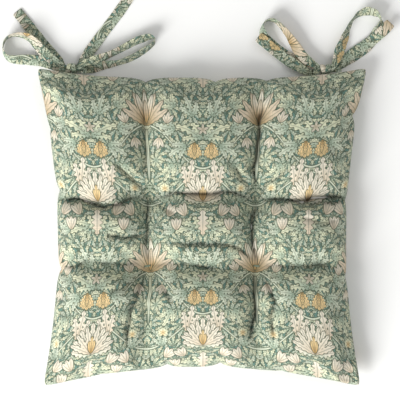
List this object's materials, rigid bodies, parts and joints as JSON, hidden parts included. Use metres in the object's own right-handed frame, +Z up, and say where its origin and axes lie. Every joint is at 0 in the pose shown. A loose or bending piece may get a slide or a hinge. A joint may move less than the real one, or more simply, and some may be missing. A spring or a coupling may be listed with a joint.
{
  "type": "chair seat pad",
  "caption": "Square tufted chair seat pad with pulled-in edges, pointed corners and fabric ties knotted in a bow at each back corner.",
  "frame": {"origin": "middle of the pad's footprint, on the surface it lies on, without the free ties", "axes": "+Z up, +X along the back edge towards the right-hand ties, +Y towards the chair's back, where the ties are"},
  "size_m": [0.4755, 0.4771, 0.0559],
  "materials": {
    "printed_cotton": "matt woven cotton with a printed botanical pattern",
    "fibre_filling": "matt, loose polyester fibre",
    "sewing_thread": "matt twisted polyester thread"
  },
  "bodies": {
    "pad": {"top_panel": "printed_cotton", "bottom_panel": "printed_cotton", "filling": "fibre_filling", "tuft_thread_front_left": "sewing_thread", "tuft_thread_front_right": "sewing_thread", "tuft_thread_back_left": "sewing_thread", "tuft_thread_back_right": "sewing_thread", "main_seam_thread": "sewing_thread", "closing_seam_thread": "sewing_thread", "left_outer_tie_tack": "sewing_thread", "left_inner_tie_tack": "sewing_thread", "right_inner_tie_tack": "sewing_thread", "right_outer_tie_tack": "sewing_thread"},
    "left_bow": {"left_outer_tie": "printed_cotton", "left_inner_tie": "printed_cotton", "left_knot": "printed_cotton"},
    "right_bow": {"right_inner_tie": "printed_cotton", "right_outer_tie": "printed_cotton", "right_knot": "printed_cotton"}
  },
  "joints": [
    {"name": "left_bow_swing", "type": "hinge", "parent": "pad", "child": "left_bow", "pos_m": [-0.158, 0.1889, 0.0185], "axis": [1, 0, 0], "range_deg": [0, 90]},
    {"name": "right_bow_swing", "type": "hinge", "parent": "pad", "child": "right_bow", "pos_m": [0.149, 0.1882, 0.0185], "axis": [1, 0, 0], "range_deg": [0, 90]}
  ]
}
